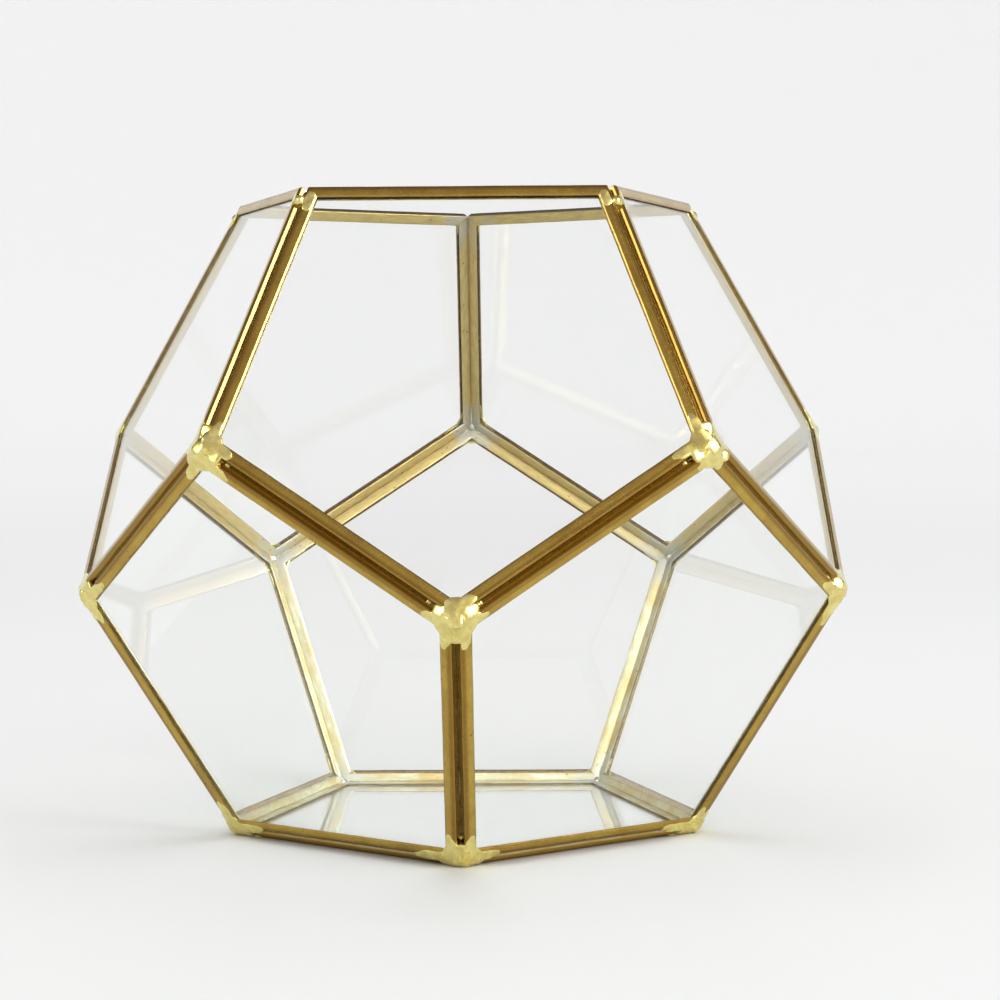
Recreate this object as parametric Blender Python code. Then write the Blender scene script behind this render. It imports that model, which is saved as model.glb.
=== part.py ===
"""Geometric terrarium: eleven glass pentagons in folded brass channel, soldered at the corners.

The panes stand as eleven faces of a regular dodecahedron, and the twelfth, on top, is the open
mouth. Units are metres and +Z is up. The origin is on the table, under the middle of the base.
"""
import math
import random

import bmesh
import bpy
from mathutils import Matrix, Vector

# Driving dimensions of the panes and their channels
PANE_EDGE = 0.063  # side of every pentagon, between the corners where the channels meet inside
CHANNEL_THICKNESS = 0.0022  # over both flanges of the folded channel
CHANNEL_FLANGE = 0.0024  # how far a flange covers the glass
CHANNEL_SHEET = 0.00025  # the brass sheet it is folded from
GLASS_GAP = 0.00025  # between the glass and the brass round it
FIT_GAP = 0.0003  # between neighbouring channels, and between solder and brass

# Driving dimensions of the solder
SOLDER_WAIST = 0.0043  # a drop's radius across a pane's corner
SOLDER_REACH = 0.0084  # how far it runs along a strut
SOLDER_RISE = 0.0010  # how far its middle stands over the channels
RIM_DROP_WAIST = 0.0026  # the same three for the small drops at the mouth
RIM_DROP_REACH = 0.0034
RIM_DROP_RISE = 0.0007
RIM_DROP_PLACE = 0.0042  # how far down the strut they sit
RUN_WIDTH = 0.62  # half angle of each run along a strut, in radians
HAND_SPREAD = 0.14  # how far one corner's solder differs from the next
HAND_SEED = 18

# How the drops are drawn
DROP_SEGMENTS = 24
CAP_RINGS = (0.4, 0.75, 1.0)  # parts of the reach
CAP_DIP = 0.0003  # the cap's border passes under the channels' faces, where it is cut away
ROOT_RING = 0.85
ROOT_DEPTH = 0.0012  # the root passes under the bottom of the grooves
CUT_DEPTH = 0.012  # how far the cutters reach into the body
TABLE_SIZE = 0.3

# Proportions of a regular dodecahedron
SIDES = 5
STEP = 2 * math.pi / SIDES
FRONT = -math.pi / 2
INNER_RADIUS = PANE_EDGE / (2 * math.tan(math.pi / SIDES))
GOLDEN = (1 + math.sqrt(5)) / 2
BODY_RADIUS = PANE_EDGE * GOLDEN ** 2 / (2 * math.sqrt(3 - GOLDEN))
BODY_CENTRE = Vector((0, 0, CHANNEL_THICKNESS + BODY_RADIUS))
PANE_LEAN = math.atan(0.5)  # the side panes' angle from upright
MEETING_ANGLE = math.acos(-1 / math.sqrt(5))  # between two panes, measured inside
UP = Vector((0, 0, 1))

# A channel stays back from the pane's outline by this much, so that two keep FIT_GAP between them
CHANNEL_INSET = FIT_GAP / (2 * math.sin(MEETING_ANGLE / 2))


def material(name, colour, metallic, roughness, transmission=0.0):
    mat = bpy.data.materials.new(name)
    mat.use_nodes = True
    shader = mat.node_tree.nodes["Principled BSDF"]
    shader.inputs["Base Color"].default_value = (*colour, 1.0)
    shader.inputs["Metallic"].default_value = metallic
    shader.inputs["Roughness"].default_value = roughness
    shader.inputs["Transmission Weight"].default_value = transmission
    return mat


def add_object(name, mesh, parent=None):
    obj = bpy.data.objects.new(name, mesh)
    bpy.context.scene.collection.objects.link(obj)
    obj.parent = parent
    return obj


def finish_mesh(name, bm, mat=None):
    bmesh.ops.recalc_face_normals(bm, faces=bm.faces)
    mesh = bpy.data.meshes.new(name)
    bm.to_mesh(mesh)
    bm.free()
    if mat:
        mesh.materials.append(mat)
    return mesh


def join_rings(bm, low, high):
    """Quads from one ring of vertices to the next."""
    for k, vert in enumerate(low):
        n = (k + 1) % len(low)
        bm.faces.new((vert, low[n], high[n], high[k]))


def axes_matrix(origin, z_axis, y_hint):
    """Place with +Z along z_axis and +Y on the side of y_hint."""
    z = z_axis.normalized()
    x = y_hint.cross(z).normalized()
    turn = Matrix((x, z.cross(x), z)).transposed()
    return Matrix.Translation(origin) @ turn.to_4x4()


# Seats: one place for each pane, on the inside of the body, with +Z out and +Y to a corner


def pane_seats():
    base_corner = Vector((math.cos(FRONT), math.sin(FRONT), 0))
    facings = {"base": (-UP, base_corner)}
    for k in range(SIDES):
        for row, turn, side in (("lower", k + 0.5, -1), ("upper", k, 1)):
            angle = FRONT + turn * STEP
            out = Vector((math.cos(angle), math.sin(angle), 0))
            normal = out * math.cos(PANE_LEAN) + UP * side * math.sin(PANE_LEAN)
            corner = out * math.sin(PANE_LEAN) - UP * side * math.cos(PANE_LEAN)
            facings[f"{row}_{k + 1}"] = (normal, corner)
    seats = {}
    for name, (normal, corner) in facings.items():
        seats[name] = axes_matrix(BODY_CENTRE + normal * BODY_RADIUS, normal, corner)
    return seats


# The pentagon pieces, in their seat's axes


def pentagon(inset, z):
    """Corners of a pane's outline, moved in by inset and out to z."""
    radius = (INNER_RADIUS - inset) / math.cos(math.pi / SIDES)
    turns = [math.pi / 2 + k * STEP for k in range(SIDES)]
    return [Vector((radius * math.cos(t), radius * math.sin(t), z)) for t in turns]


def plate_mesh(name, inset, low, high, mat=None):
    bm = bmesh.new()
    floor = bm.faces.new([bm.verts.new(point) for point in pentagon(inset, low)])
    raised = bmesh.ops.extrude_face_region(bm, geom=[floor])["geom"]
    verts = [item for item in raised if isinstance(item, bmesh.types.BMVert)]
    bmesh.ops.translate(bm, verts=verts, vec=(0, 0, high - low))
    return finish_mesh(name, bm, mat)


def channel_mesh(mat):
    """The folded strip: a U section carried round the pentagon and mitred at its corners."""
    edge = CHANNEL_INSET
    web = edge + CHANNEL_SHEET
    tip = edge + CHANNEL_FLANGE
    inner_face = CHANNEL_SHEET
    outer_face = CHANNEL_THICKNESS - CHANNEL_SHEET
    section = [
        (edge, 0),
        (tip, 0),
        (tip, inner_face),
        (web, inner_face),
        (web, outer_face),
        (tip, outer_face),
        (tip, CHANNEL_THICKNESS),
        (edge, CHANNEL_THICKNESS),
    ]
    bm = bmesh.new()
    rings = []
    for inset, z in section:
        rings.append([bm.verts.new(point) for point in pentagon(inset, z)])
    for low, high in zip(rings, rings[1:] + rings[:1]):
        join_rings(bm, low, high)
    return finish_mesh("channel", bm, mat)


def glass_mesh(mat):
    inset = CHANNEL_INSET + CHANNEL_SHEET + GLASS_GAP
    low = CHANNEL_SHEET + GLASS_GAP
    return plate_mesh("glass", inset, low, CHANNEL_THICKNESS - low, mat)


def cutter_mesh():
    """Everything that a pane and its channel keep clear of solder, with the room inside them."""
    inset = CHANNEL_INSET - FIT_GAP
    return plate_mesh("cutter", inset, -CUT_DEPTH, CHANNEL_THICKNESS + FIT_GAP)


def table_mesh():
    """A block that ends the solder just over the table."""
    bm = bmesh.new()
    middle = Matrix.Translation((0, 0, FIT_GAP - TABLE_SIZE / 2))
    bmesh.ops.create_cube(bm, size=TABLE_SIZE, matrix=middle)
    return finish_mesh("table", bm)


# The body's corners, and the solder drops on them


def body_corners(seats):
    """Every corner of the body, with the names of the panes that meet there."""
    corners = []
    for name, place in seats.items():
        for point in pentagon(0, 0):
            corner = place @ point
            known = [c for c in corners if (c[0] - corner).length < PANE_EDGE / 10]
            if known:
                known[0][1].add(name)
            else:
                corners.append((corner, {name}))
    return corners


def corner_title(corner, panes):
    """The corner's ring and its number, counted round from the front."""
    if len(panes) == 2:
        ring = "rim"
    elif "base" in panes:
        ring = "base"
    elif corner.z < BODY_CENTRE.z:
        ring = "lower"
    else:
        ring = "upper"
    steps = (math.atan2(corner.y, corner.x) - FRONT) / STEP
    return f"{ring}_{round(steps - 0.25) % SIDES + 1}"


def struts_at(corner, panes, corners):
    """Unit directions of the grooves that leave a corner, each between two of its panes."""
    ways = []
    for other, other_panes in corners:
        way = other - corner
        if len(panes & other_panes) == 2 and 0 < way.length < PANE_EDGE * 1.1:
            ways.append(way.normalized())
    return ways


def turn_between(a, b):
    return abs((a - b + math.pi) % (2 * math.pi) - math.pi)


def drop_reach(turn, waist, runs):
    reach = waist
    for run_turn, run_reach in runs:
        off = turn_between(turn, run_turn) / RUN_WIDTH
        reach += (run_reach - waist) * math.exp(-off ** 3)
    return reach


def faces_height(x, y, normals, offset):
    """Height of the nearest face over a point, for faces that stand offset off the body."""
    return min((offset - n.x * x - n.y * y) / n.z for n in normals)


def drop_mesh(name, normals, waist, runs, rise, mat):
    """A lobed drop in its own axes: a swelling cap over the channels and a root below it."""
    turns = [2 * math.pi * k / DROP_SEGMENTS for k in range(DROP_SEGMENTS)]
    bm = bmesh.new()

    def ring(part, height):
        verts = []
        for turn in turns:
            reach = part * drop_reach(turn, waist, runs)
            x, y = reach * math.cos(turn), reach * math.sin(turn)
            verts.append(bm.verts.new((x, y, height(x, y))))
        return verts

    rings = []
    for part in CAP_RINGS:
        swell = (rise + CAP_DIP) * math.sqrt(1 - part ** 2) - CAP_DIP + CHANNEL_THICKNESS
        rings.append(ring(part, lambda x, y: faces_height(x, y, normals, swell)))
    rings.append(ring(ROOT_RING, lambda x, y: faces_height(x, y, normals, -ROOT_DEPTH)))
    for low, high in zip(rings, rings[1:]):
        join_rings(bm, low, high)
    crown = bm.verts.new((0, 0, faces_height(0, 0, normals, CHANNEL_THICKNESS + rise)))
    heel = bm.verts.new((0, 0, faces_height(0, 0, normals, -ROOT_DEPTH)))
    for tip, verts in ((crown, rings[0]), (heel, rings[-1])):
        for k, vert in enumerate(verts):
            bm.faces.new((tip, vert, verts[(k + 1) % DROP_SEGMENTS]))
    mesh = finish_mesh(name, bm, mat)
    mesh.shade_smooth()
    return mesh


def add_drop(title, corner, panes, corners, seats, rng, mat):
    ways = struts_at(corner, panes, corners)
    faces = [seats[name].to_3x3() @ UP for name in sorted(panes)]
    if len(panes) == 2:
        waist, reach, rise = RIM_DROP_WAIST, RIM_DROP_REACH, RIM_DROP_RISE
        origin = corner + ways[0] * RIM_DROP_PLACE
        ways.append(-ways[0])
    else:
        waist, reach, rise = SOLDER_WAIST, SOLDER_REACH, SOLDER_RISE
        origin = corner
    place = axes_matrix(origin, sum(faces, Vector()), ways[0])
    inward = place.to_3x3().inverted()
    normals = [inward @ face for face in faces]
    runs = []
    for way in ways:
        flat = inward @ way
        hand = 1 + HAND_SPREAD * rng.uniform(-1, 1)
        runs.append((math.atan2(flat.y, flat.x), reach * hand))
    name = f"solder_{title}"
    drop = add_object(name, drop_mesh(name, normals, waist, runs, rise, mat))
    drop.matrix_world = place
    return drop


def add_cut(obj, cutter):
    cut = obj.modifiers.new(f"clear of {cutter.name}", "BOOLEAN")
    cut.operation = "DIFFERENCE"
    cut.solver = "EXACT"
    cut.object = cutter


def add_cutter(name, mesh, parent=None):
    cutter = add_object(name, mesh, parent)
    cutter.hide_render = True
    cutter.display_type = "WIRE"
    return cutter


def build():
    for obj in list(bpy.data.objects):
        bpy.data.objects.remove(obj, do_unlink=True)

    brass = material("brass", (0.52, 0.34, 0.10), 1.0, 0.32)
    solder = material("solder", (0.80, 0.68, 0.36), 1.0, 0.28)
    clear_glass = material("glass", (0.94, 0.97, 0.96), 0.0, 0.03, transmission=1.0)

    seats = pane_seats()
    channel = channel_mesh(brass)
    glass = glass_mesh(clear_glass)
    cutter = cutter_mesh()
    cutters = {}
    for name, place in seats.items():
        seat = add_object(f"seat_{name}", None)
        seat.matrix_world = place
        add_object(f"frame_{name}", channel, seat)
        add_object(f"glass_{name}", glass, seat)
        cutters[name] = add_cutter(f"cutter_{name}", cutter, seat)
    table = add_cutter("cutter_table", table_mesh())

    rng = random.Random(HAND_SEED)
    corners = body_corners(seats)
    for corner, panes in corners:
        title = corner_title(corner, panes)
        drop = add_drop(title, corner, panes, corners, seats, rng, solder)
        for name in sorted(panes):
            add_cut(drop, cutters[name])
        if "base" in panes:
            add_cut(drop, table)


build()
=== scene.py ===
import math
import random

import bmesh
import bpy
from mathutils import Euler, Matrix, Vector, noise


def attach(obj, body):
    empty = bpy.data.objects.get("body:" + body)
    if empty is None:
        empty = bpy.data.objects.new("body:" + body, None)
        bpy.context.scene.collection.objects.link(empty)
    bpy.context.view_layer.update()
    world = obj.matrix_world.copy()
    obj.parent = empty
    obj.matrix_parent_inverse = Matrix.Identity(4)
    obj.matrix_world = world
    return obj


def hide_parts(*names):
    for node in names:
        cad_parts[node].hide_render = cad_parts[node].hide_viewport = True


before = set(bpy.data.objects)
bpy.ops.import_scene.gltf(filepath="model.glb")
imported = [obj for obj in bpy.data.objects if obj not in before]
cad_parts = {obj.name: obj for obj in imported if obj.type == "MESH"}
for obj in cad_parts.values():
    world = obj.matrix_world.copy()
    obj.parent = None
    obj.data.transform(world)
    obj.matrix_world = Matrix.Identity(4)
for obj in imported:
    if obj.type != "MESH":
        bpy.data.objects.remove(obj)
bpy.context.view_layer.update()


# The glass panes
# Eleven equal pentagons of thin clear float glass, cut by hand. They stand as eleven faces of a
# regular dodecahedron, and the twelfth, on top, is left open as the mouth.

SIDES = 5
STEP = 2 * math.pi / SIDES
FRONT = -math.pi / 2
GOLDEN = (1 + math.sqrt(5)) / 2
PANE_EDGE = 0.063
PANE_APOTHEM = PANE_EDGE / (2 * math.tan(math.pi / SIDES))
PANE_LEAN = math.atan(0.5)
BODY_RADIUS = PANE_EDGE * GOLDEN ** 2 / (2 * math.sqrt(3 - GOLDEN))
CHANNEL_DEPTH = 0.0022
BODY_CENTRE = Vector((0, 0, CHANNEL_DEPTH + BODY_RADIUS))
UP = Vector((0, 0, 1))
FILM_START = 0.080  # distance from the body's middle where the flux film begins
FILM_FULL = 0.088
GLASS_CLEAR = (0.992, 0.998, 0.993, 1)
GLASS_FILMED = (0.93, 0.94, 0.91, 1)
GLASS_SHADE = (0.965, 0.975, 0.968, 1)
GLASS_IOR = 1.4


def seat_matrix(normal, corner):
    """A pane's place on the inside of the body, with +Z out and +Y towards one of its corners."""
    side = corner.cross(normal).normalized()
    turn = Matrix((side, normal.cross(side), normal)).transposed()
    return Matrix.Translation(BODY_CENTRE + normal * BODY_RADIUS) @ turn.to_4x4()


def pane_seats():
    seats = {"base": seat_matrix(-UP, Vector((math.cos(FRONT), math.sin(FRONT), 0)))}
    for k in range(SIDES):
        for row, turn, side in (("lower", k + 0.5, -1), ("upper", k, 1)):
            angle = FRONT + turn * STEP
            out = Vector((math.cos(angle), math.sin(angle), 0))
            normal = out * math.cos(PANE_LEAN) + UP * side * math.sin(PANE_LEAN)
            corner = out * math.sin(PANE_LEAN) - UP * side * math.cos(PANE_LEAN)
            seats[f"{row}_{k + 1}"] = seat_matrix(normal, corner)
    return seats


def connect(tree, socket, value):
    if isinstance(value, bpy.types.NodeSocket):
        tree.links.new(value, socket)
    else:
        socket.default_value = value


def put(tree, kind, settings=None, inputs=None):
    """A node of that kind, with its settings, and a value or a link for each named input."""
    node = tree.nodes.new(kind)
    for name, value in (settings or {}).items():
        setattr(node, name, value)
    for name, value in (inputs or {}).items():
        connect(tree, node.inputs[name], value)
    return node


def calc(tree, operation, *values):
    node = tree.nodes.new("ShaderNodeMath")
    node.operation = operation
    for socket, value in zip(node.inputs, values):
        connect(tree, socket, value)
    return node.outputs[0]


def fade(tree, value, start, end, low=0.0, high=1.0):
    """low until value reaches start, high from end on, and a smooth passage between."""
    node = put(tree, "ShaderNodeMapRange", {"interpolation_type": "SMOOTHSTEP"})
    for name, given in (("Value", value), ("From Min", start), ("From Max", end)):
        connect(tree, node.inputs[name], given)
    node.inputs["To Min"].default_value = low
    node.inputs["To Max"].default_value = high
    return node.outputs[0]


def grain(tree, place, scale, detail=2.0, roughness=0.5):
    node = put(tree, "ShaderNodeTexNoise", {}, {"Vector": place, "Scale": scale})
    node.inputs["Detail"].default_value = detail
    node.inputs["Roughness"].default_value = roughness
    return node.outputs[0]


def blend_colours(tree, share, first, second):
    node = put(tree, "ShaderNodeMix", {"data_type": "RGBA"})
    connect(tree, node.inputs[0], share)
    connect(tree, node.inputs[6], first)
    connect(tree, node.inputs[7], second)
    return node.outputs[2]


def start_finish(name):
    finish = bpy.data.materials.new(name)
    finish.use_nodes = True
    tree = finish.node_tree
    return finish, tree, tree.nodes["Principled BSDF"]


def glass_finish():
    """Clear float glass with a breath of green, and a film of flux near the soldered corners."""
    finish, tree, shader = start_finish("float glass")
    place = put(tree, "ShaderNodeTexCoord").outputs["Object"]
    from_centre = put(tree, "ShaderNodeVectorMath", {"operation": "DISTANCE"})
    connect(tree, from_centre.inputs[0], place)
    from_centre.inputs[1].default_value = BODY_CENTRE
    corner = fade(tree, from_centre.outputs["Value"], FILM_START, FILM_FULL)
    smear = fade(tree, grain(tree, place, 90, 4), 0.45, 0.75)
    film = calc(tree, "MULTIPLY", corner, smear)
    connect(tree, shader.inputs["Roughness"], calc(tree, "MULTIPLY", film, 0.16))
    tint = blend_colours(tree, film, GLASS_CLEAR, GLASS_FILMED)
    connect(tree, shader.inputs["Base Color"], tint)
    shader.inputs["Transmission Weight"].default_value = 1.0
    shader.inputs["IOR"].default_value = GLASS_IOR
    clear = put(tree, "ShaderNodeBsdfTransparent", {}, {"Color": GLASS_SHADE})
    ray = put(tree, "ShaderNodeLightPath")
    lets_by = calc(tree, "MAXIMUM", ray.outputs["Is Shadow Ray"], ray.outputs["Is Diffuse Ray"])
    mixed = put(tree, "ShaderNodeMixShader")
    connect(tree, mixed.inputs[0], lets_by)
    connect(tree, mixed.inputs[1], shader.outputs[0])
    connect(tree, mixed.inputs[2], clear.outputs[0])
    connect(tree, tree.nodes["Material Output"].inputs["Surface"], mixed.outputs[0])
    return finish


SEATS = pane_seats()
glass = glass_finish()
for pane in SEATS:
    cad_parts[f"glass_{pane}"].material_slots[0].material = glass


# The brass channels
# Thin brass strip, folded to a U over the edges of each pane and mitred at its five corners. The
# folds are rounded, the lips turn down onto the glass, and the inside is paler than the outside.

CHANNEL_EDGE = -0.000135  # the web stands this far in from the pane's outline
CHANNEL_FLANGE = 0.0026
BASE_FLANGE = 0.0023
CHANNEL_SHEET = 0.00025
CHANNEL_OUTER_FOLD = 0.00042
CHANNEL_INNER_FOLD = 0.00016
CHANNEL_LIP = 0.00030
CHANNEL_LIP_DIP = 0.00014
CHANNEL_MITRE = 0.00003
CHANNEL_WOBBLE = 0.00004
CHANNEL_ARCH = 0.00009  # how far a flange's middle bulges
PRESSED = 0.985  # share of its depth that the channel keeps where it is pressed onto the glass
PRESSED_SPREAD = 0.012
BOTTOM_SIDE = 2  # the side of a lower pane that lies along the base
BOTTOM_LIFT = 0.0010  # its outer flange starts this much further in
BOTTOM_TRIM = 0.28  # share by which its inner flange is narrower
SECTION_POINTS = 6
SECTION_MIDDLE = (SECTION_POINTS - 1) / 2
FOLD_POINTS = 6
STRIP_POINTS = 25
SHARP_ANGLE = math.radians(40)

LACQUER = (0.49, 0.335, 0.062, 1)
LACQUER_DEEP = (0.40, 0.255, 0.045, 1)
LACQUER_STREAK = (0.30, 0.16, 0.03, 1)
# Dark brim along the lips: partly tarnish, partly painted shade.
BRIM_TARNISH_AND_SHADE = (0.25, 0.13, 0.05, 1)
# Painted shade beside the groove, where the flange turns into the fold.
SHOULDER_PAINTED_SHADE = (0.23, 0.12, 0.018, 1)
# Painted shade in the groove.
GROOVE_PAINTED_SHADE = (0.34, 0.21, 0.036, 1)
BARE_BRASS = (0.60, 0.475, 0.18, 1)
BARE_BRASS_DULL = (0.50, 0.40, 0.16, 1)
# Paler tones for the inside towards the foot.
FOOT_PALE_YELLOW = (0.56, 0.55, 0.33, 1)
FOOT_PALE_WHITE = (0.76, 0.76, 0.60, 1)
TIN_GREY = (0.50, 0.51, 0.46, 1)
PIT_BROWN = (0.12, 0.07, 0.03, 1)
PALER_FROM_HEIGHT = 0.072  # height above the table where the inside starts to grow paler, and where it is palest
PALEST_BELOW_HEIGHT = 0.040


def start_tree(name, sizes):
    """A geometry tree with named inputs, and the sockets that carry them."""
    tree = bpy.data.node_groups.new(name, "GeometryNodeTree")
    for title, kind in sizes.items():
        tree.interface.new_socket(title, in_out="INPUT", socket_type=f"NodeSocket{kind}")
    tree.interface.new_socket("Geometry", in_out="OUTPUT", socket_type="NodeSocketGeometry")
    return tree, put(tree, "NodeGroupInput").outputs


def end_tree(tree, shape, finish):
    whole = put(tree, "GeometryNodeRealizeInstances", {}, {"Geometry": shape})
    clad = put(tree, "GeometryNodeSetMaterial", {}, {"Geometry": whole.outputs[0]})
    connect(tree, clad.inputs["Material"], finish)
    out = put(tree, "NodeGroupOutput")
    connect(tree, out.inputs["Geometry"], clad.outputs[0])


def pick(tree, index, values):
    """The value for index, counted from 0."""
    node = put(tree, "GeometryNodeIndexSwitch", {"data_type": "FLOAT"})
    while len(node.index_switch_items) < len(values):
        node.index_switch_items.new()
    connect(tree, node.inputs[0], index)
    for k, value in enumerate(values):
        connect(tree, node.inputs[k + 1], value)
    return node.outputs[0]


def note(tree, shape, values, domain="POINT"):
    """Keeps the values on the shape, and returns it with the sockets that carry them."""
    node = put(tree, "GeometryNodeCaptureAttribute", {"domain": domain}, {"Geometry": shape})
    for title, value in values.items():
        node.capture_items.new("FLOAT", title)
        connect(tree, node.inputs[title], value)
    return node.outputs["Geometry"], [node.outputs[title] for title in values]


def channel_tree():
    tree, size = start_tree("Folded brass channel", {
        "Apothem": "Float", "Depth": "Float", "Edge": "Float", "Flange": "Float",
        "Sheet": "Float", "Outer Fold": "Float", "Inner Fold": "Float", "Lip": "Float",
        "Lip Dip": "Float", "Mitre": "Float", "Wobble": "Float", "Arch": "Float", "Lift": "Float",
        "Trim": "Float", "Seed": "Float",
        "Steps": "Int", "Finish": "Material",
    })
    half_depth = calc(tree, "MULTIPLY", size["Depth"], 0.5)
    half_sheet = calc(tree, "MULTIPLY", size["Sheet"], 0.5)

    # The section: from the inner lip, round the web, to the outer lip
    index = put(tree, "GeometryNodeInputIndex").outputs[0]
    from_middle = calc(tree, "SUBTRACT", index, SECTION_MIDDLE)
    step = calc(tree, "FLOOR", calc(tree, "ABSOLUTE", from_middle))
    side = calc(tree, "SIGN", from_middle)
    rise = calc(tree, "SUBTRACT", half_depth, half_sheet)
    lip = calc(tree, "SUBTRACT", size["Flange"], size["Lip"])
    point_inset = pick(tree, step, [half_sheet, lip, size["Flange"]])
    point_rise = pick(tree, step, [rise, rise, calc(tree, "SUBTRACT", rise, size["Lip Dip"])])
    point_height = calc(tree, "ADD", half_depth, calc(tree, "MULTIPLY", side, point_rise))
    corner = put(tree, "ShaderNodeCombineXYZ", {}, {"X": point_inset, "Y": point_height})
    points = put(tree, "GeometryNodeMeshLine", {}, {"Count": SECTION_POINTS})
    placed = put(tree, "GeometryNodeSetPosition", {}, {
        "Geometry": points.outputs[0], "Position": corner.outputs[0]})
    curve = put(tree, "GeometryNodeMeshToCurve", {}, {"Mesh": placed.outputs[0]})
    outer = calc(tree, "LESS_THAN", SECTION_MIDDLE, index)
    fold = pick(tree, outer, [size["Inner Fold"], size["Outer Fold"]])
    folded = put(tree, "GeometryNodeFilletCurve", {"mode": "POLY"}, {
        "Curve": curve.outputs[0], "Count": FOLD_POINTS, "Radius": fold, "Limit Radius": True})
    spot = put(tree, "ShaderNodeSeparateXYZ", {}, {
        "Vector": put(tree, "GeometryNodeInputPosition").outputs[0]})
    run = put(tree, "GeometryNodeSplineParameter")
    section, (inset, height, across) = note(tree, folded.outputs[0], {
        "Inset": spot.outputs["X"], "Height": spot.outputs["Y"], "Across": run.outputs["Length"]})

    # One side: the section carried along a strip from -1 to 1
    line = put(tree, "GeometryNodeCurvePrimitiveLine", {}, {"Start": (-1, 0, 0), "End": (1, 0, 0)})
    strip = put(tree, "GeometryNodeResampleCurve", {}, {
        "Curve": line.outputs[0], "Count": size["Steps"]})
    path, (part,) = note(tree, strip.outputs[0], {"Part": run.outputs["Factor"]})
    one = put(tree, "GeometryNodeCurveToMesh", {}, {"Curve": path, "Profile Curve": section})

    # Five sides, each bent to its place round the pane
    spots = put(tree, "GeometryNodeMeshLine", {}, {"Count": SIDES})
    five = put(tree, "GeometryNodeInstanceOnPoints", {}, {
        "Points": spots.outputs[0], "Instance": one.outputs[0]})
    numbered, (number,) = note(tree, five.outputs[0], {"Number": index}, "INSTANCE")
    whole = put(tree, "GeometryNodeRealizeInstances", {}, {"Geometry": numbered})
    along = calc(tree, "MULTIPLY_ADD", part, 2, -1)
    layer = calc(tree, "DIVIDE", height, size["Depth"])

    def unevenness(shift, wave):
        """Waves along the strip, mostly from -1 to 1, that differ from side to side."""
        across_layers = calc(tree, "MULTIPLY", layer, 0.25)
        where = put(tree, "ShaderNodeCombineXYZ", {}, {
            "X": calc(tree, "MULTIPLY", along, wave),
            "Y": calc(tree, "MULTIPLY_ADD", number, 7.3, shift),
            "Z": calc(tree, "MULTIPLY_ADD", size["Seed"], 3.1, across_layers)})
        return calc(tree, "MULTIPLY_ADD", grain(tree, where.outputs[0], 1, 1), 4, -2)

    short_waves = unevenness(53.1, 24.0)
    waves = calc(tree, "MULTIPLY_ADD", short_waves, 0.4, unevenness(0.0, 4.0))
    bent_inset = calc(tree, "ADD", calc(tree, "ADD", size["Edge"], inset), calc(
        tree, "MULTIPLY", waves, size["Wobble"]))
    bottom = calc(tree, "COMPARE", number, BOTTOM_SIDE, 0.5)
    lift = calc(tree, "MULTIPLY", calc(tree, "MULTIPLY", layer, size["Lift"]), bottom)
    bent_inset = calc(tree, "ADD", bent_inset, lift)
    cut = calc(tree, "MULTIPLY", calc(tree, "MULTIPLY", inset, size["Trim"]), calc(
        tree, "MULTIPLY", bottom, calc(tree, "SUBTRACT", 1, layer)))
    bent_inset = calc(tree, "SUBTRACT", bent_inset, cut)
    pressed = calc(tree, "MULTIPLY_ADD", unevenness(31.7, 2.5), -PRESSED_SPREAD, PRESSED)
    bent_height = calc(tree, "MULTIPLY_ADD", calc(
        tree, "SUBTRACT", height, half_depth), pressed, half_depth)
    off_middle = calc(tree, "MULTIPLY_ADD", calc(tree, "DIVIDE", inset, size["Flange"]), 2, -1)
    bulge = calc(tree, "SUBTRACT", 1, calc(tree, "POWER", off_middle, 2))
    bulge = calc(tree, "MULTIPLY", bulge, calc(tree, "MULTIPLY_ADD", layer, 2, -1))
    bent_height = calc(tree, "MULTIPLY_ADD", bulge, size["Arch"], bent_height)
    radius = calc(tree, "SUBTRACT", size["Apothem"], bent_inset)
    half_side = calc(tree, "SUBTRACT", calc(
        tree, "MULTIPLY", radius, math.tan(math.pi / SIDES)), size["Mitre"])
    flat = put(tree, "ShaderNodeCombineXYZ", {}, {
        "X": calc(tree, "MULTIPLY", along, half_side), "Y": radius, "Z": bent_height})
    round_pane = put(tree, "ShaderNodeVectorRotate", {"rotation_type": "Z_AXIS"}, {
        "Vector": flat.outputs[0], "Angle": calc(tree, "MULTIPLY_ADD", number, STEP, STEP / 2)})
    bent = put(tree, "GeometryNodeSetPosition", {}, {
        "Geometry": whole.outputs[0], "Position": round_pane.outputs[0]})

    # What the finish reads: the strip's own length and width, and the place in the section
    length = calc(tree, "MULTIPLY", calc(
        tree, "ADD", calc(tree, "MULTIPLY", number, 2.2), along), PANE_EDGE / 2)
    measured = put(tree, "GeometryNodeStoreNamedAttribute", {
        "data_type": "FLOAT2", "domain": "CORNER"}, {
        "Geometry": bent.outputs[0], "Name": "strip",
        "Value": put(tree, "ShaderNodeCombineXYZ", {}, {"X": length, "Y": across}).outputs[0]})
    marked = put(tree, "GeometryNodeStoreNamedAttribute", {
        "data_type": "FLOAT_VECTOR", "domain": "POINT"}, {
        "Geometry": measured.outputs[0], "Name": "section",
        "Value": put(tree, "ShaderNodeCombineXYZ", {}, {
            "X": calc(tree, "DIVIDE", inset, size["Flange"]), "Y": layer, "Z": along}).outputs[0]})
    end_tree(tree, marked.outputs[0], size["Finish"])
    return tree


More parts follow.
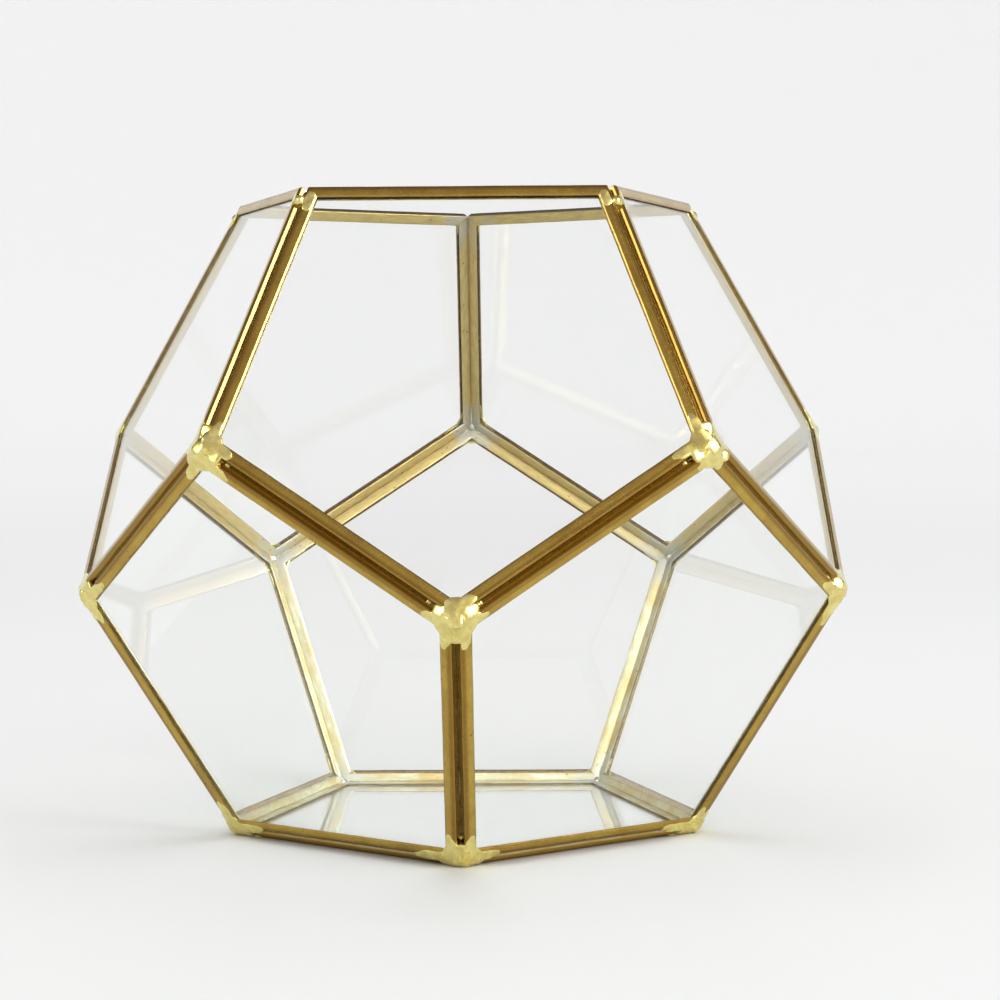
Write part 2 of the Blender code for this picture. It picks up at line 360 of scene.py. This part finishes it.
def brass_finish():
    """Lacquered brass outside, with painted shade towards and in the grooves and a dark brim on the
    lips, partly tarnish and partly painted shade; paler inside, most of all towards the foot.
    """
    finish, tree, shader = start_finish("lacquered brass")
    place = put(tree, "ShaderNodeTexCoord").outputs["Object"]
    stored = put(tree, "ShaderNodeAttribute", {"attribute_name": "section"}).outputs["Vector"]
    section = put(tree, "ShaderNodeSeparateXYZ", {}, {"Vector": stored})
    strip = put(tree, "ShaderNodeUVMap", {"uv_map": "strip"}).outputs[0]
    drawn = put(tree, "ShaderNodeMapping", {}, {"Vector": strip, "Scale": (110, 5200, 1)})
    streak = grain(tree, drawn.outputs[0], 1, 3)
    smeared = put(tree, "ShaderNodeMapping", {}, {"Vector": strip, "Scale": (260, 1500, 1)})
    smear = grain(tree, smeared.outputs[0], 1, 4, 0.6)
    cloud = grain(tree, place, 110, 4, 0.6)
    speckle = grain(tree, place, 1400, 3, 0.7)
    inside = fade(tree, section.outputs["Y"], 0.62, 0.30)
    above_table = put(tree, "ShaderNodeSeparateXYZ", {}, {"Vector": place}).outputs["Z"]
    low = fade(tree, above_table, PALER_FROM_HEIGHT, PALEST_BELOW_HEIGHT)
    groove = calc(tree, "MULTIPLY", fade(tree, section.outputs["X"], 0.16, 0.06), fade(
        tree, section.outputs["Y"], 0.02, 0.15))
    lacquer = blend_colours(tree, fade(tree, cloud, 0.38, 0.66), LACQUER, LACQUER_DEEP)
    drawn_lines = fade(tree, streak, 0.5, 0.72, 0, 0.35)
    lacquer = blend_colours(tree, drawn_lines, lacquer, LACQUER_STREAK)
    # Painted shade: the outer brim of each lip darkens. This is partly tarnish on the cut edge and
    # partly stands in for the shadow line along the lip, which also damps the lip's reflection.
    brim_tarnish_and_shade = fade(tree, section.outputs["X"], 0.88, 0.97, 0.0, 0.6)
    lacquer = blend_colours(tree, brim_tarnish_and_shade, lacquer, BRIM_TARNISH_AND_SHADE)
    # Painted shade: the flange darkens towards the fold beside the groove.
    shoulder_shade = fade(tree, section.outputs["X"], 0.54, 0.20, 0.0, 0.8)
    shoulder_shade = calc(tree, "MULTIPLY", shoulder_shade, fade(tree, cloud, 0.2, 0.5, 0.8, 1.0))
    lacquer = blend_colours(tree, shoulder_shade, lacquer, SHOULDER_PAINTED_SHADE)
    bare = blend_colours(tree, fade(tree, smear, 0.4, 0.62), BARE_BRASS, BARE_BRASS_DULL)
    foot_pale = blend_colours(tree, fade(tree, smear, 0.35, 0.7), FOOT_PALE_YELLOW, FOOT_PALE_WHITE)
    # The inside grows paler towards the foot, by height above the table.
    foot_pale_share = calc(tree, "MULTIPLY", low, fade(tree, cloud, 0.3, 0.62))
    bare = blend_colours(tree, foot_pale_share, bare, foot_pale)
    end = fade(tree, calc(tree, "ABSOLUTE", section.outputs["Z"]), 0.68, 0.96, 0.0, 0.9)
    end = calc(tree, "MULTIPLY", end, fade(tree, calc(tree, "ADD", smear, cloud), 0.86, 1.06))
    bare = blend_colours(tree, end, bare, TIN_GREY)
    colour = blend_colours(tree, inside, lacquer, bare)
    # Painted shade: the groove walls between the channels are painted darker brown.
    colour = blend_colours(tree, calc(tree, "MULTIPLY", groove, 0.6), colour, GROOVE_PAINTED_SHADE)
    pit = put(tree, "ShaderNodeTexVoronoi", {}, {"Vector": place, "Scale": 700, "Randomness": 1})
    few = fade(tree, grain(tree, place, 160, 2), 0.55, 0.66)
    pits = calc(tree, "MULTIPLY", fade(tree, pit.outputs["Distance"], 0.24, 0.10), few)
    colour = blend_colours(tree, calc(tree, "MULTIPLY", pits, 0.6), colour, PIT_BROWN)
    connect(tree, shader.inputs["Base Color"], colour)
    shader.inputs["Metallic"].default_value = 1.0
    rough = fade(tree, streak, 0.3, 0.7, 0.17, 0.30)
    rough = calc(tree, "MULTIPLY_ADD", inside, 0.24, rough)
    rough = calc(tree, "MULTIPLY_ADD", fade(tree, speckle, 0.5, 0.75), 0.12, rough)
    rough = calc(tree, "MULTIPLY_ADD", pits, 0.3, rough)
    rough = calc(tree, "MULTIPLY", rough, calc(tree, "MULTIPLY_ADD", groove, -0.45, 1))
    connect(tree, shader.inputs["Roughness"], rough)
    shader.inputs["Coat Weight"].default_value = 0.2
    shader.inputs["Coat Roughness"].default_value = 0.12
    relief = calc(tree, "MULTIPLY_ADD", cloud, 0.6, streak)
    relief = calc(tree, "SUBTRACT", calc(tree, "MULTIPLY_ADD", speckle, 0.25, relief), pits)
    bump = put(tree, "ShaderNodeBump", {}, {"Height": relief, "Strength": 0.03, "Distance": 0.0002})
    connect(tree, shader.inputs["Normal"], bump.outputs[0])
    return finish


def grow(name, tree, values, after=()):
    """A plain mesh object from a geometry tree, its inputs, and the modifiers that follow it."""
    carrier = bpy.data.objects.new(f"{name}_blank", bpy.data.meshes.new(f"{name}_blank"))
    bpy.context.scene.collection.objects.link(carrier)
    maker = carrier.modifiers.new("maker", "NODES")
    maker.node_group = tree
    for title, value in values.items():
        maker[tree.interface.items_tree[title].identifier] = value
    for kind, settings in after:
        extra = carrier.modifiers.new(kind, kind)
        for setting, value in settings.items():
            setattr(extra, setting, value)
    graph = bpy.context.evaluated_depsgraph_get()
    mesh = bpy.data.meshes.new_from_object(
        carrier.evaluated_get(graph), preserve_all_data_layers=True, depsgraph=graph)
    blank = carrier.data
    bpy.data.objects.remove(carrier)
    bpy.data.meshes.remove(blank)
    mesh.name = name
    piece = bpy.data.objects.new(name, mesh)
    bpy.context.scene.collection.objects.link(piece)
    return piece


brass = brass_finish()
channels = channel_tree()
for number, (pane, seat) in enumerate(SEATS.items()):
    channel = grow(f"channel_{pane}", channels, {
        "Apothem": PANE_APOTHEM, "Depth": CHANNEL_DEPTH, "Edge": CHANNEL_EDGE,
        "Flange": BASE_FLANGE if pane == "base" else CHANNEL_FLANGE, "Sheet": CHANNEL_SHEET,
        "Outer Fold": CHANNEL_OUTER_FOLD, "Inner Fold": CHANNEL_INNER_FOLD,
        "Lip": CHANNEL_LIP, "Lip Dip": CHANNEL_LIP_DIP, "Mitre": CHANNEL_MITRE,
        "Wobble": CHANNEL_WOBBLE, "Arch": 0.0 if pane == "base" else CHANNEL_ARCH,
        "Lift": BOTTOM_LIFT if pane.startswith("lower") else 0.0,
        "Trim": BOTTOM_TRIM if pane.startswith("lower") else 0.0,
        "Seed": float(number), "Steps": STRIP_POINTS, "Finish": brass,
    }, after=[("SOLIDIFY", {"thickness": CHANNEL_SHEET, "offset": 0, "use_even_offset": True})])
    channel.data.transform(seat)
    channel.data.shade_smooth()
    channel.data.set_sharp_from_angle(angle=SHARP_ANGLE)
    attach(channel, "root")
    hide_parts(f"frame_{pane}")


# The solder where three panes meet
# Bright solder, melted over each corner with an iron. It fills the groove between the channels for
# a few millimetres, creeps along their flanges in blunt tongues, and shows as grey fillets inside.

FLANGE_MIDDLE = CHANNEL_EDGE + CHANNEL_FLANGE / 2
COAT_RISE = 0.00016  # how far a coat stands over the channel
COAT_HALF = 0.00034
COAT_HEIGHT = CHANNEL_DEPTH + COAT_RISE - COAT_HALF
TONGUE_REACH = {"base": 0.0068, "lower": 0.0082, "upper": 0.0064}
TONGUE_ABOVE = 0.0042  # upwards from a lower corner
TONGUE_AT_FOOT = 0.0094  # along the foot of a lower pane
TONGUE_SPREAD = 0.0016
TONGUE_BLUNTNESS = 3.6
COAT_SHARE = 0.96  # of the flange's width
LOBE_SHARE = 0.72
LOBE_SHIFT = 0.13
FILL_REACH = 0.0047
FILL_SPREAD = 0.0007
FILL_HEIGHT = 0.00108
FILL_HALF_WIDTH = 0.0011
FILL_HALF_HEIGHT = 0.0008
FILL_BLUNTNESS = 2.8
CROWN_HEIGHT = 0.00104
CROWN_RADII = (0.0020, 0.0020, 0.00118)
FILLET_DEPTH = 0.0001
FILLET_RADII = (0.0011, 0.0011, 0.0007)
TOP_POOL_HEIGHT = 0.0013
TOP_POOL_RADII = (0.0018, 0.0016, 0.0009)
BUMPS = 2
BUMP_SPREAD = 0.0012
BUMP_HEIGHT = 0.0014
BUMP_RADII = (0.0010, 0.0009, 0.00055)
PATCH_PLACE = 0.0019
PATCH_RADII = (0.0021, 0.0025, COAT_HALF)
PATCH_BLUNTNESS = 3.0
POOL_PLACE = 0.0031
POOL_HEIGHT = 0.0015
POOL_RADII = (0.0017, 0.0013, 0.0006)
SEAM_PLACE = 0.6  # the grey seam inside, in parts of the fill's reach
SEAM_LENGTH = 0.8
SEAM_HEIGHT = 0.00012
SEAM_HALF_WIDTH = 0.0003
END_BEAD_HEIGHT = 0.0005
END_BEAD_RADII = (0.0007, 0.0004, 0.0003)
FOOT_CLEAR = 0.00004  # the solder stays this much above the table
SOLDER_SEED = 18
SOLDER_VOXEL = 0.00015
SOLDER_FLOW = 8
SOLDER_RIPPLE = 0.00008
SOLDER_FACES = 10000
FACET_SLOPES = (Vector((0.38, -0.87, 0.32)), Vector((-0.33, -0.89, 0.32)))
FACET_LIMIT = 0.8
FACET_SPREAD = 0.04

SOLDER_PALE = (0.79, 0.70, 0.24, 1)
SOLDER_YELLOW = (0.66, 0.53, 0.13, 1)
SOLDER_INSIDE = (0.34, 0.34, 0.30, 1)
SOLDER_INSIDE_LIGHT = (0.66, 0.66, 0.55, 1)
SOLDER_STAIN = (0.14, 0.13, 0.08, 1)


def pane_corners(seat):
    radius = PANE_APOTHEM / math.cos(math.pi / SIDES)
    turns = [math.pi / 2 + k * STEP for k in range(SIDES)]
    return [seat @ Vector((radius * math.cos(t), radius * math.sin(t), 0)) for t in turns]


def body_corners():
    """Every corner of the body, with the panes that meet there."""
    corners = []
    for pane, seat in SEATS.items():
        for point in pane_corners(seat):
            known = [c for c in corners if (c[0] - point).length < PANE_EDGE / 10]
            if known:
                known[0][1].add(pane)
            else:
                corners.append((point, {pane}))
    return corners


def corner_title(corner, panes):
    """The corner's ring and its number, counted round from the front.

    In two rings the corners stand half a step on. A quarter step back gives both the same numbers.
    """
    if len(panes) == 2:
        ring = "rim"
    elif "base" in panes:
        ring = "base"
    elif corner.z < BODY_CENTRE.z:
        ring = "lower"
    else:
        ring = "upper"
    steps = (math.atan2(corner.y, corner.x) - FRONT) / STEP
    return ring, round(steps - 0.25) % SIDES + 1


def pane_out(pane):
    return (SEATS[pane].to_3x3() @ UP).normalized()


def grooves_at(corner, panes):
    """The direction of each groove that leaves a corner, with its two panes."""
    ways = []
    for other, other_panes in CORNERS:
        shared = panes & other_panes
        way = other - corner
        if len(shared) == 2 and PANE_EDGE * 0.9 < way.length < PANE_EDGE * 1.1:
            ways.append((way.normalized(), sorted(shared)))
    return ways


def into_pane(corner, way, pane):
    """The direction in a pane's plane that leads from one of its edges to its middle."""
    inward = SEATS[pane].translation - corner
    return (inward - way * inward.dot(way)).normalized()


def lump(bm, centre, axes, radii, bluntness=2.0, faces=3):
    """A closed ball, stretched along three axes, and squarer the blunter it is."""
    ball = bmesh.ops.create_icosphere(bm, subdivisions=faces, radius=1)
    for vert in ball["verts"]:
        unit = vert.co / sum(abs(part) ** bluntness for part in vert.co) ** (1 / bluntness)
        vert.co = centre + sum((a * r * u for a, r, u in zip(axes, radii, unit)), Vector())


def tongue(bm, corner, way, pane, start, reach):
    """Solder run along a flange, as a blunt coat and a lobe that goes further along one edge."""
    out = pane_out(pane)
    inward = into_pane(corner, way, pane)
    lobe = hand.choice((-1, 1))
    coat_end = reach * hand.uniform(0.78, 0.96)
    for side, share, end in ((0, COAT_SHARE, coat_end), (lobe, LOBE_SHARE, reach)):
        inset = FLANGE_MIDDLE + side * CHANNEL_FLANGE * LOBE_SHIFT
        middle = corner + way * (start + end) / 2 + inward * inset + out * COAT_HEIGHT
        radii = ((end - start) / 2, CHANNEL_FLANGE / 2 * share, COAT_HALF)
        lump(bm, middle, (way, inward, out), radii, TONGUE_BLUNTNESS)


def fill(bm, corner, way, pair, start, reach, height):
    """The solder that lies in a groove between two channels."""
    out = (pane_out(pair[0]) + pane_out(pair[1])).normalized()
    across = way.cross(out).normalized()
    middle = corner + way * (start + reach) / 2 + out * height
    radii = ((reach - start) / 2, FILL_HALF_WIDTH, FILL_HALF_HEIGHT)
    lump(bm, middle, (way, across, out), radii, FILL_BLUNTNESS)


def facet(bm, centre, way, normal, radii):
    """A pool that froze nearly flat, on the front tilted to the slopes that shine in the photo."""
    slope = max(FACET_SLOPES, key=normal.dot)
    if normal.dot(slope) < FACET_LIMIT:
        slope = normal
    chance = Vector((hand.uniform(-1, 1), hand.uniform(-1, 1), hand.uniform(-1, 1)))
    slope = (slope + chance * FACET_SPREAD).normalized()
    level = slope.cross(way).normalized()
    lump(bm, centre, (level.cross(slope), level, slope), radii, TONGUE_BLUNTNESS)


def fused(name, bm, finish, panes, faces):
    """One skin round all the lumps, drawn smooth by surface tension and kept off the table."""
    heap = bpy.data.meshes.new(f"{name}_heap")
    bm.to_mesh(heap)
    bm.free()
    heap.materials.append(finish)
    blank = bpy.data.objects.new(f"{name}_heap", heap)
    bpy.context.scene.collection.objects.link(blank)
    skin = blank.modifiers.new("skin", "REMESH")
    skin.mode = "VOXEL"
    skin.voxel_size = SOLDER_VOXEL
    skin.use_smooth_shade = True
    flow = blank.modifiers.new("flow", "SMOOTH")
    flow.factor = 0.5
    flow.iterations = SOLDER_FLOW
    graph = bpy.context.evaluated_depsgraph_get()
    count = len(blank.evaluated_get(graph).data.polygons)
    thin = blank.modifiers.new("thin", "DECIMATE")
    thin.ratio = min(1.0, faces / (2 * count))
    graph = bpy.context.evaluated_depsgraph_get()
    mesh = bpy.data.meshes.new_from_object(blank.evaluated_get(graph), depsgraph=graph)
    bpy.data.objects.remove(blank)
    bpy.data.meshes.remove(heap)
    mesh.name = name
    normals = [vert.normal.copy() for vert in mesh.vertices]
    outs = [pane_out(pane) for pane in sorted(panes)]
    depth = mesh.attributes.new("depth", "FLOAT", "POINT")
    for vert, normal in zip(mesh.vertices, normals):
        from_centre = vert.co - BODY_CENTRE
        height = max(out.dot(from_centre) for out in outs) - BODY_RADIUS
        depth.data[vert.index].value = height / CHANNEL_DEPTH
        ripple = noise.noise(vert.co * 520) + 0.2 * noise.noise(vert.co * 1500)
        ripple *= min(max(height / CHANNEL_DEPTH, 0.3), 1)
        vert.co += normal * ripple * SOLDER_RIPPLE
        vert.co.z = max(vert.co.z, FOOT_CLEAR)
    mesh.shade_smooth()
    piece = bpy.data.objects.new(name, mesh)
    bpy.context.scene.collection.objects.link(piece)
    return piece


def solder_finish():
    """Pale brass-coloured solder outside, grey where it shows through to the inside."""
    finish, tree, shader = start_finish("pale solder")
    place = put(tree, "ShaderNodeTexCoord").outputs["Object"]
    depth = put(tree, "ShaderNodeAttribute", {"attribute_name": "depth"}).outputs["Fac"]
    inside = fade(tree, depth, 0.35, 0.15)
    cloud = grain(tree, place, 380, 4, 0.6)
    pale = blend_colours(tree, fade(tree, cloud, 0.35, 0.7), SOLDER_PALE, SOLDER_YELLOW)
    grey = blend_colours(tree, fade(tree, cloud, 0.4, 0.6), SOLDER_INSIDE, SOLDER_INSIDE_LIGHT)
    colour = blend_colours(tree, inside, pale, grey)
    stain = fade(tree, grain(tree, place, 640, 3, 0.7), 0.64, 0.74)
    stain = calc(tree, "MULTIPLY", stain, fade(tree, inside, 0, 1, 0.6, 0.25))
    colour = blend_colours(tree, stain, colour, SOLDER_STAIN)
    connect(tree, shader.inputs["Base Color"], colour)
    shader.inputs["Metallic"].default_value = 1.0
    rough = fade(tree, grain(tree, place, 520, 3), 0.35, 0.7, 0.24, 0.42)
    connect(tree, shader.inputs["Roughness"], rough)
    shader.inputs["Coat Weight"].default_value = 1.0
    shader.inputs["Coat Roughness"].default_value = 0.07
    relief = calc(tree, "MULTIPLY_ADD", grain(tree, place, 1500, 3, 0.6), 0.35, cloud)
    bump = put(tree, "ShaderNodeBump", {}, {"Height": relief, "Strength": 0.16, "Distance": 0.0003})
    connect(tree, shader.inputs["Normal"], bump.outputs[0])
    return finish


CORNERS = body_corners()
solder = solder_finish()
hand = random.Random(SOLDER_SEED)
for corner, panes in CORNERS:
    ring, number = corner_title(corner, panes)
    if ring == "rim":
        continue
    up = sum((pane_out(pane) for pane in sorted(panes)), Vector()).normalized()
    ways = grooves_at(corner, panes)
    bm = bmesh.new()
    across = ways[0][0].cross(up).normalized()
    turn = (across, up.cross(across), up)
    lump(bm, corner + up * CROWN_HEIGHT, turn, CROWN_RADII)
    lump(bm, corner - up * FILLET_DEPTH, turn, FILLET_RADII)
    facet(bm, corner + up * TOP_POOL_HEIGHT, across, up, TOP_POOL_RADII)
    for k in range(BUMPS):
        lean = turn[0] * hand.uniform(-BUMP_SPREAD, BUMP_SPREAD)
        lean += turn[1] * hand.uniform(-BUMP_SPREAD, BUMP_SPREAD)
        lump(bm, corner + up * BUMP_HEIGHT + lean, turn, BUMP_RADII, 2.0, 2)
    for pane in sorted(panes):
        out = pane_out(pane)
        middle = (SEATS[pane].translation - corner).normalized()
        side = middle.cross(out)
        patch = corner + middle * PATCH_PLACE + out * COAT_HEIGHT
        lump(bm, patch, (middle, side, out), PATCH_RADII, PATCH_BLUNTNESS)
    for way, pair in ways:
        for pane in pair:
            above = ring == "lower" and pane.startswith("upper")
            reach = TONGUE_ABOVE if above else TONGUE_REACH[ring]
            if "base" in pair and pane != "base":
                reach = TONGUE_AT_FOOT
            reach += TONGUE_SPREAD * hand.uniform(-1, 1.3)
            tongue(bm, corner, way, pane, 0.0, reach)
        reach = FILL_REACH + FILL_SPREAD * hand.uniform(-1, 1)
        fill(bm, corner, way, pair, 0.0, reach, FILL_HEIGHT)
        between = (pane_out(pair[0]) + pane_out(pair[1])).normalized()
        axes = (way, way.cross(between), between)
        pool = corner + way * POOL_PLACE + between * POOL_HEIGHT
        facet(bm, pool, way, between, POOL_RADII)
        seam = corner + way * reach * SEAM_PLACE + between * SEAM_HEIGHT
        lump(bm, seam, axes, (reach * SEAM_LENGTH, SEAM_HALF_WIDTH, SEAM_HALF_WIDTH))
        bead = corner + way * (reach + hand.uniform(0.0004, 0.0016)) + between * END_BEAD_HEIGHT
        lump(bm, bead, axes, END_BEAD_RADII, 2.0, 2)
    drop = fused(f"solder_at_{ring}_{number}", bm, solder, panes, SOLDER_FACES)
    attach(drop, "root")
    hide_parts(f"solder_{ring}_{number}")


# The solder at the mouth
# Two channels meet at each corner of the mouth. Solder coats their mitred ends, and a small bead
# lies between them a few millimetres below the rim.

BEAD_PLACE = 0.0036
BEAD_OUT = 0.00165
BEAD_RADII = (0.00125, 0.00118, 0.00105)
RIM_REACH = 0.0060
RIM_START = 0.0007
RIM_INSET = 0.00125
RIM_HALF_WIDTH = 0.0012
RIM_BLUNTNESS = 3.4
RIM_SPREAD = 0.6  # of what the corners below have
RIM_FILL_BELOW = 0.0018
RIM_FILL_ABOVE = 0.0014
RIM_FILL_HEIGHT = 0.0008
RIM_FACES = 7000

for corner, panes in CORNERS:
    ring, number = corner_title(corner, panes)
    if ring != "rim":
        continue
    way, pair = grooves_at(corner, panes)[0]
    bm = bmesh.new()
    for pane in pair:
        out = pane_out(pane)
        inward = into_pane(corner, way, pane)
        reach = RIM_REACH + TONGUE_SPREAD * RIM_SPREAD * hand.uniform(-1, 1)
        middle = corner + way * (reach + RIM_START) / 2 + inward * RIM_INSET + out * COAT_HEIGHT
        radii = ((reach - RIM_START) / 2, RIM_HALF_WIDTH, COAT_HALF)
        lump(bm, middle, (way, inward, out), radii, RIM_BLUNTNESS)
    below = BEAD_PLACE + FILL_SPREAD * RIM_SPREAD * hand.uniform(-1, 1)
    start, end = below - RIM_FILL_BELOW, below + RIM_FILL_ABOVE
    fill(bm, corner, way, pair, start, end, RIM_FILL_HEIGHT)
    between = (pane_out(pair[0]) + pane_out(pair[1])).normalized()
    axes = (way, way.cross(between), between)
    lump(bm, corner + way * below + between * BEAD_OUT, axes, BEAD_RADII)
    drop = fused(f"solder_at_{ring}_{number}", bm, solder, panes, RIM_FACES)
    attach(drop, "root")
    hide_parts(f"solder_{ring}_{number}")


# The table
# A plain pale surface, round, that sweeps up into a low plain backdrop on all sides, so that it
# looks the same from every angle. It grows a little lighter away from the terrarium.

FLOOR_RADIUS = 2.2
SWEEP = 0.6
BACKDROP_TOP = 0.9
SWEEP_STEPS = 24
FLOOR_CORNERS = 128
FLOOR_GREY = (0.735, 0.735, 0.725, 1)
FLOOR_GREY_LIGHT = (0.765, 0.765, 0.76, 1)
FLOOR_FAR = (0.93, 0.93, 0.925, 1)
FLOOR_NEAR_RADIUS = 0.5


def floor_mesh():
    line = [(FLOOR_RADIUS, 0.0)]
    for k in range(1, SWEEP_STEPS + 1):
        turn = math.pi / 2 * k / SWEEP_STEPS
        line.append((FLOOR_RADIUS + SWEEP * math.sin(turn), SWEEP * (1 - math.cos(turn))))
    line.append((FLOOR_RADIUS + SWEEP, BACKDROP_TOP))
    bm = bmesh.new()
    rings = []
    for radius, z in line:
        turns = [2 * math.pi * k / FLOOR_CORNERS for k in range(FLOOR_CORNERS)]
        rings.append([bm.verts.new((radius * math.cos(t), radius * math.sin(t), z)) for t in turns])
    bm.faces.new(rings[0])
    for low, high in zip(rings, rings[1:]):
        for k in range(FLOOR_CORNERS):
            after = (k + 1) % FLOOR_CORNERS
            bm.faces.new((low[k], high[k], high[after], low[after]))
    mesh = bpy.data.meshes.new("floor")
    bm.to_mesh(mesh)
    bm.free()
    mesh.shade_smooth()
    return mesh


def floor_finish():
    finish, tree, shader = start_finish("pale floor")
    place = put(tree, "ShaderNodeTexCoord").outputs["Object"]
    cloud = grain(tree, place, 3, 3)
    colour = blend_colours(tree, cloud, FLOOR_GREY, FLOOR_GREY_LIGHT)
    distance = put(tree, "ShaderNodeVectorMath", {"operation": "LENGTH"}, {"Vector": place})
    far = fade(tree, distance.outputs["Value"], FLOOR_NEAR_RADIUS, FLOOR_RADIUS)
    colour = blend_colours(tree, far, colour, FLOOR_FAR)
    connect(tree, shader.inputs["Base Color"], colour)
    shader.inputs["Roughness"].default_value = 0.55
    shader.inputs["Specular IOR Level"].default_value = 0.3
    return finish


floor = bpy.data.objects.new("floor", floor_mesh())
bpy.context.scene.collection.objects.link(floor)
floor.data.materials.append(floor_finish())


# The light
# A pale room, darker behind the camera and above, with a large window in front on the right and a
# weaker one on the left. Two more soft lights fill in what only matt surfaces show.

ROOM_PLAIN = (0.93, 0.935, 0.94, 1)
ROOM_FRONT = (0.62, 0.57, 0.58, 1)
ROOM_CEILING = (0.38, 0.33, 0.39, 1)
WALL_BRIGHT = (1.12, 1.13, 1.12, 1)
WALL_DIM = (0.13, 0.135, 0.14, 1)

world = bpy.data.worlds.new("studio")
bpy.context.scene.world = world
world.use_nodes = True
sky = world.node_tree
direction = put(sky, "ShaderNodeTexCoord").outputs["Generated"]
axes = put(sky, "ShaderNodeSeparateXYZ", {}, {"Vector": direction})
room = fade(sky, axes.outputs["Y"], -0.40, 0.05)
wall_top = fade(sky, axes.outputs["Y"], 0.35, 0.65, 0.18, 0.38)
above_wall = fade(sky, axes.outputs["Z"], wall_top, calc(sky, "ADD", wall_top, 0.08))
wall = blend_colours(sky, above_wall, WALL_BRIGHT, WALL_DIM)
mirrored = blend_colours(sky, room, ROOM_FRONT, wall)
overhead = fade(sky, axes.outputs["Z"], 0.70, 0.90)
mirrored = blend_colours(sky, overhead, mirrored, ROOM_CEILING)
ray = put(sky, "ShaderNodeLightPath")
surroundings = blend_colours(sky, ray.outputs["Is Glossy Ray"], ROOM_PLAIN, mirrored)
connect(sky, sky.nodes["Background"].inputs["Color"], surroundings)


def softbox(name, azimuth, height, distance, width, tall, power, mirrors=True):
    """A soft rectangular light that faces the terrarium, for the gloss alone or for matt surfaces.

    Its azimuth is 0 in front and 90 on the right.
    """
    data = bpy.data.lights.new(name, "AREA")
    data.shape = "RECTANGLE"
    data.size = width
    data.size_y = tall
    data.energy = power
    lamp = bpy.data.objects.new(name, data)
    turn, rise = math.radians(azimuth), math.radians(height)
    level = math.cos(rise)
    back = Vector((math.sin(turn) * level, -math.cos(turn) * level, math.sin(rise)))
    lamp.location = BODY_CENTRE + back * distance
    lamp.rotation_euler = (-back).to_track_quat("-Z", "Y").to_euler()
    lamp.visible_glossy = mirrors
    lamp.visible_diffuse = not mirrors
    bpy.context.scene.collection.objects.link(lamp)


softbox("window_right", azimuth=50, height=31, distance=1.5, width=0.60, tall=0.75, power=26.0)
softbox("window_left", azimuth=-53, height=30, distance=1.5, width=0.46, tall=0.66, power=4.4)
softbox("window_glow", azimuth=40, height=40, distance=1.5, width=0.60, tall=0.60, power=5.0,
        mirrors=False)
softbox("ceiling", azimuth=170, height=72, distance=1.7, width=1.2, tall=1.2, power=8.0,
        mirrors=False)


# The camera
# It stands 57 cm in front, level with the upper panes, and looks down by three degrees. The place
# and the lens were fitted to the borders of the channels in the picture.

CAMERA_PLACE = Vector((0.01301, -0.57097, 0.10581))
CAMERA_HEADING = math.radians(0.487)
CAMERA_PITCH = math.radians(3.142)
CAMERA_ROLL = math.radians(0.347)
CAMERA_LENS = 89.18
SENSOR_WIDTH = 36

camera = bpy.data.objects.new("camera", bpy.data.cameras.new("camera"))
bpy.context.scene.collection.objects.link(camera)
camera.data.sensor_width = SENSOR_WIDTH
camera.data.lens = CAMERA_LENS
camera.data.clip_start = 0.01
camera.location = CAMERA_PLACE
camera.rotation_euler = (
    Euler((0, 0, CAMERA_HEADING)).to_matrix()
    @ Euler((math.pi / 2 - CAMERA_PITCH, 0, 0)).to_matrix()
    @ Euler((0, 0, -CAMERA_ROLL)).to_matrix()
).to_euler()
bpy.context.scene.camera = camera
bpy.context.scene.view_settings.view_transform = "Standard"
bpy.context.scene.cycles.use_denoising = True
bpy.context.scene.cycles.use_light_tree = False
